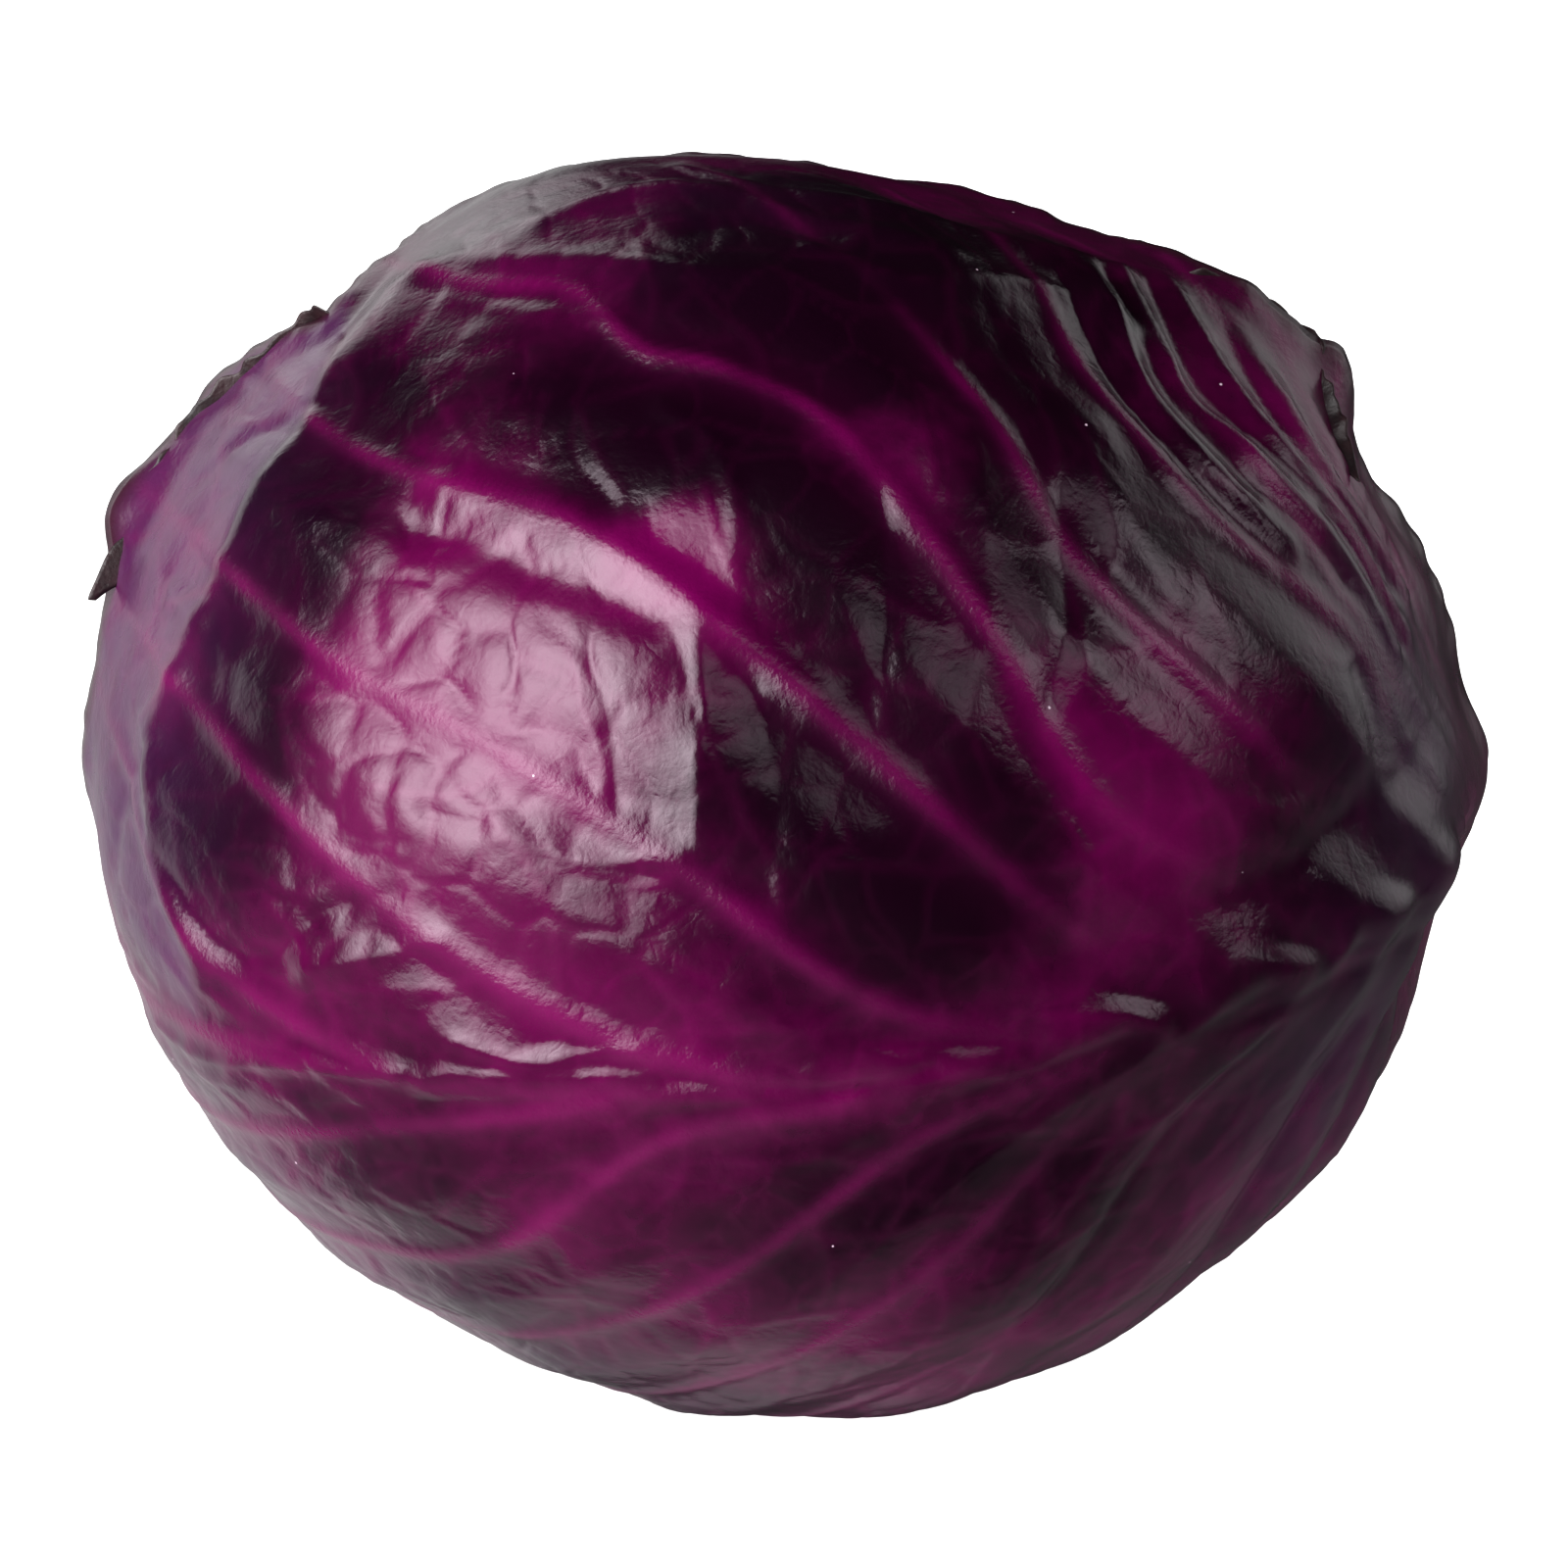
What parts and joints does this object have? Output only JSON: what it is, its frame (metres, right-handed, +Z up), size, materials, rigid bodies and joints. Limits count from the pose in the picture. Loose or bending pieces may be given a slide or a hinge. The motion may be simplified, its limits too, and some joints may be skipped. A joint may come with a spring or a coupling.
{
  "type": "cabbage head",
  "caption": "Head of red cabbage lying on its side, with wrapper leaves around a packed heart and a cut stalk at one end.",
  "frame": {"origin": "centre of the whole head's box, on the surface that the head rests on", "axes": "+X along the head's axis from the leaf tips to the cut stalk, -Y the front where the outermost leaf's midrib lies, +Z up"},
  "size_m": [0.164, 0.1492, 0.1446],
  "materials": {
    "front_leaf": "semi-gloss waxy leaf skin, dark purple with magenta ribs and a pale bloom",
    "wrapper_leaf": "semi-gloss waxy leaf skin, purple with pale ribs and more bloom",
    "packed_leaves": "satin leaf skin, tightly folded",
    "cut_stalk": "matt dry cut face, cream with a purple rim"
  },
  "bodies": {
    "root": {"packed_head": "packed_leaves", "stalk": "cut_stalk", "top_leaf": "wrapper_leaf", "lower_front_leaf": "wrapper_leaf", "back_leaf": "wrapper_leaf", "upper_front_leaf": "wrapper_leaf", "under_leaf": "wrapper_leaf", "upper_back_leaf": "wrapper_leaf", "front_leaf": "front_leaf"}
  },
  "joints": []
}
